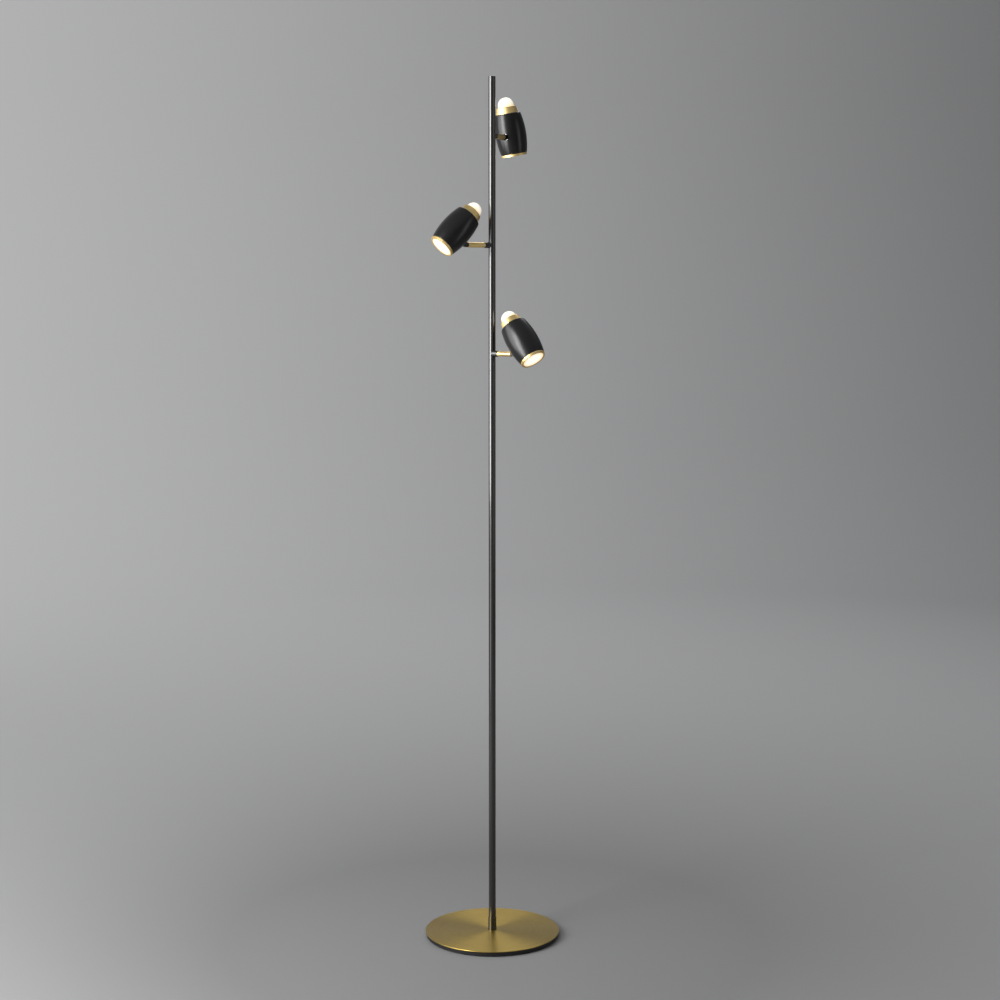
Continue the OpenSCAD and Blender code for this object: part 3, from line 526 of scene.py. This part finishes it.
front_r = barrel_radius(RING_H)
outline = [(front_r - FRONT_EDGE, RING_H), (front_r, RING_H + FRONT_EDGE)]
outline += [(barrel_radius(s), s) for s in (RING_H + (outer_end - RING_H) * k / OUTER_STEPS
                                            for k in range(1, OUTER_STEPS + 1))]
outline += rounded([(barrel_radius(outer_end), outer_end, 0),
                    (barrel_radius(BARREL_L) + BACK_OUT, BARREL_L, BACK_EDGE),
                    (DOME_R + FIT, BARREL_L, 0)], closed=False, steps=8)[1:]
outline += [(DOME_R + FIT, BARREL_L - WALL)]
outline += [(barrel_radius(s, WALL), s) for s in (inner_end - (inner_end - RING_H) * k / INNER_STEPS
                                                  for k in range(INNER_STEPS + 1))]
barrel = turned("barrel", outline, steps=160)
cut_by_cylinder(barrel, HOLE_R, DRILL_L, (DRILL_X, 0, PIVOT_S), vertices=64)
keep_own_place(barrel)

shell = Finish("satin_black_shell", Base_Color=(0.0045, 0.0042, 0.0042), IOR=1.42)
own = shell.own_place()
peel = shell.noise(own, 650, 2)
spun = shell.noise(shell.add("ShaderNodeMapping", {"Vector": own, "Scale": (0.04, 0.04, 1)}), 900, 2)
cloud = shell.noise(own, 40, 3)
shell_black = shell.finish(
    Roughness=shell.combined("ADD", shell.spread(cloud, 0.27, 0.34), shell.spread(spun, -0.02, 0.02)),
    Normal=shell.relief(peel, 0.006, 0.5, shell.relief(spun, 0.008, 0.3)))

# The front ring is turned brass in two steps with a fine groove between them.
# It screws into the barrel and holds the lens behind its bevelled lip.
RING_R, BEZEL_R, OPEN_R, LENS_R, LIP_T, BEVEL_W, BEVEL_H = 23.5, 22.8, 19.6, 21.04, 0.8, 0.9, 0.55
LINE_FROM, LINE_TO, LINE_DEPTH, SKIRT_R, SKIRT_L = 1.25, 1.55, 0.35, 22.19, 4
ring = turned("front_ring", rounded([
    (OPEN_R, LIP_T, 0.08), (OPEN_R, BEVEL_H, 0.1), (OPEN_R + BEVEL_W, 0, 0.15), (BEZEL_R, 0, 0.25),
    (BEZEL_R, LINE_FROM, 0.08), (BEZEL_R - LINE_DEPTH, LINE_FROM, 0), (BEZEL_R - LINE_DEPTH, LINE_TO, 0),
    (RING_R, LINE_TO, 0.3), (RING_R, RING_H, 0.2), (SKIRT_R, RING_H, 0), (SKIRT_R, RING_H + SKIRT_L, 0.2),
    (LENS_R + FIT, RING_H + SKIRT_L, 0), (LENS_R + FIT, LIP_T, 0)], steps=4), steps=144)
keep_own_place(ring)
ring_brass = turned_brass("ring_satin_brass", (0.76, 0.55, 0.22), (0.86, 0.65, 0.30), 0.46, 1800)

# The lens is a frosted glass disc, slightly crowned, lit from behind: white hot in the middle, and warmer
# towards the ring. It casts more light than the camera sees in it, as a lit lamp outshines white.
CROWN = ((0, 0.25), (4, 0.27), (8, 0.33), (12, 0.43), (16, 0.57), (18.5, 0.66), (OPEN_R - 0.1, 0.74))
LENS_EDGE, LENS_BACK = ((LENS_R - 0.2, 0.85), (LENS_R, 1.0), (LENS_R, 2.9), (LENS_R - 0.15, 3)), 3
LENS_WHITE, LENS_WARM, CAST_LIGHT = (1, 0.97, 0.90), (1, 0.76, 0.38), 3
lens = turned("lens", [*CROWN, *LENS_EDGE, (0, LENS_BACK)], closed=False)
keep_own_place(lens)


def glowing(name, first, last, reach, axes, strength, rim, rough):
    """Material lit from inside: its light turns from the first colour to the last, and dims at the rim."""
    glow = Finish(name, Base_Color=(0.34, 0.31, 0.26), IOR=1.5)
    own = glow.own_place()
    facing = glow.add("ShaderNodeLayerWeight", {"Blend": 0.5}, "Facing")
    frost = glow.noise(own, 1500, 2)
    thrown = glow.spread(glow.add("ShaderNodeLightPath", output="Is Camera Ray"), CAST_LIGHT, 1)
    return glow.finish(
        Emission_Color=glow.mixed(glow.spread(glow.length(own, axes), 0, 1, reach), first, last),
        Emission_Strength=glow.combined("MULTIPLY", thrown, glow.spread(facing, strength, rim, (0.25, 0.95))),
        Roughness=glow.spread(frost, rough, rough + 0.12), Normal=glow.relief(frost, 0.01, 0.5))


lens_glow = glowing("frosted_lens_lit", LENS_WHITE, LENS_WARM, (0.013, 0.0197), (1, 1, 0), 0.97, 0.9, 0.4)

# The rear band is a tapered brass ring that clamps the barrel's back, and the
# opal dome sits in it and glows at the back of the head.
BAND_R, BAND_TAPER, BAND_RINGS, BAND_END_R, BAND_L = 20.2, 0.2, (4, 8), 17.8, 12
ROLL_W, ROLL_DIP, ROLL_DEPTH = 0.9, 0.3, 1
DOME_RISE, DOME_SKIRT, DOME_WALL = 2.5, 6, 1.6
DOME_WARM, DOME_WHITE = (1, 0.74, 0.40), (1, 0.95, 0.84)
band_end, dome_centre, dome_in = BARREL_L + BAND_L, BARREL_L + BAND_L + DOME_RISE, DOME_R - DOME_WALL
band = turned("rear_band", rounded([
    (DOME_R + FIT, BARREL_L, 0), (BAND_R, BARREL_L, 0.25),
    *[(BAND_R - BAND_TAPER * s, BARREL_L + s, 0) for s in BAND_RINGS], (BAND_END_R, band_end, 0.7),
    (DOME_R + ROLL_W, band_end - ROLL_DIP, 0.2), (DOME_R + FIT, band_end - ROLL_DEPTH, 0)]), steps=128)
keep_own_place(band)
crest = [(DOME_R * math.cos(a), dome_centre + DOME_R * math.sin(a)) for a in angles(16, 6)]
hollow = [(dome_in * math.cos(a), dome_centre + dome_in * math.sin(a)) for a in angles(11, -9, 90)]
skirt = dome_centre - DOME_SKIRT
dome = turned("dome", [(DOME_R, skirt)] + crest + hollow + [(dome_in, skirt)])
keep_own_place(dome)
dome_glow = glowing("opal_dome_lit", DOME_WARM, DOME_WHITE, (0.0895, 0.098), (0, 0, 1), 0.85, 0.5, 0.3)

for head, bearing, swivel, tilt, height in ARMS:
    for piece, name, slot, node, material in (
            (barrel, "_barrel_spun", "shell_black", "_barrel", shell_black),
            (ring, "_front_ring_turned", "satin_brass", "_front_ring", ring_brass),
            (lens, "_lens_crowned", "frosted_lens", "_lens", lens_glow),
            (band, "_rear_band_turned", "satin_brass", "_rear_band", ring_brass),
            (dome, "_dome_opal", "opal_dome", "_dome", dome_glow)):
        twin = copied(piece, head + name, head_frame(bearing, swivel, tilt, height))
        stands_for(twin, head + "_head", slot, head + node)
        dress(material, twin)
for piece in (barrel, ring, lens, band, dome):
    bpy.data.objects.remove(piece)

# Inside each head a turned aluminium heat sink carries two white light boards.
# The leads are white wires, and the lead in the pole has a black jacket.
aluminium = plain_finish("turned_aluminium", (300, 3), (0.32, 0.48), (300, 3, 0.01, 0.4),
                         ((0.6, 0.6, 0.61), (0.75, 0.75, 0.76)), Metallic=1.0)
white_board = plain_finish("white_solder_mask", (800, 2), (0.3, 0.42), Base_Color=(0.78, 0.78, 0.75),
                           Coat_Weight=0.3, Coat_Roughness=0.2)
white_wire = plain_finish("white_wire", (900, 2), (0.38, 0.5), Base_Color=(0.7, 0.7, 0.68))
for head, *_ in ARMS:
    dress(aluminium, head + "_heat_sink")
    dress(white_board, head + "_front_board", head + "_rear_board")
    dress(white_wire, head + "_arm_lead", head + "_head_lead")
dress(plain_finish("black_jacket", (600, 2), (0.5, 0.65), (2000, 2, 0.02, 0.4),
                   Base_Color=(0.02, 0.02, 0.02)), "trunk_lead")
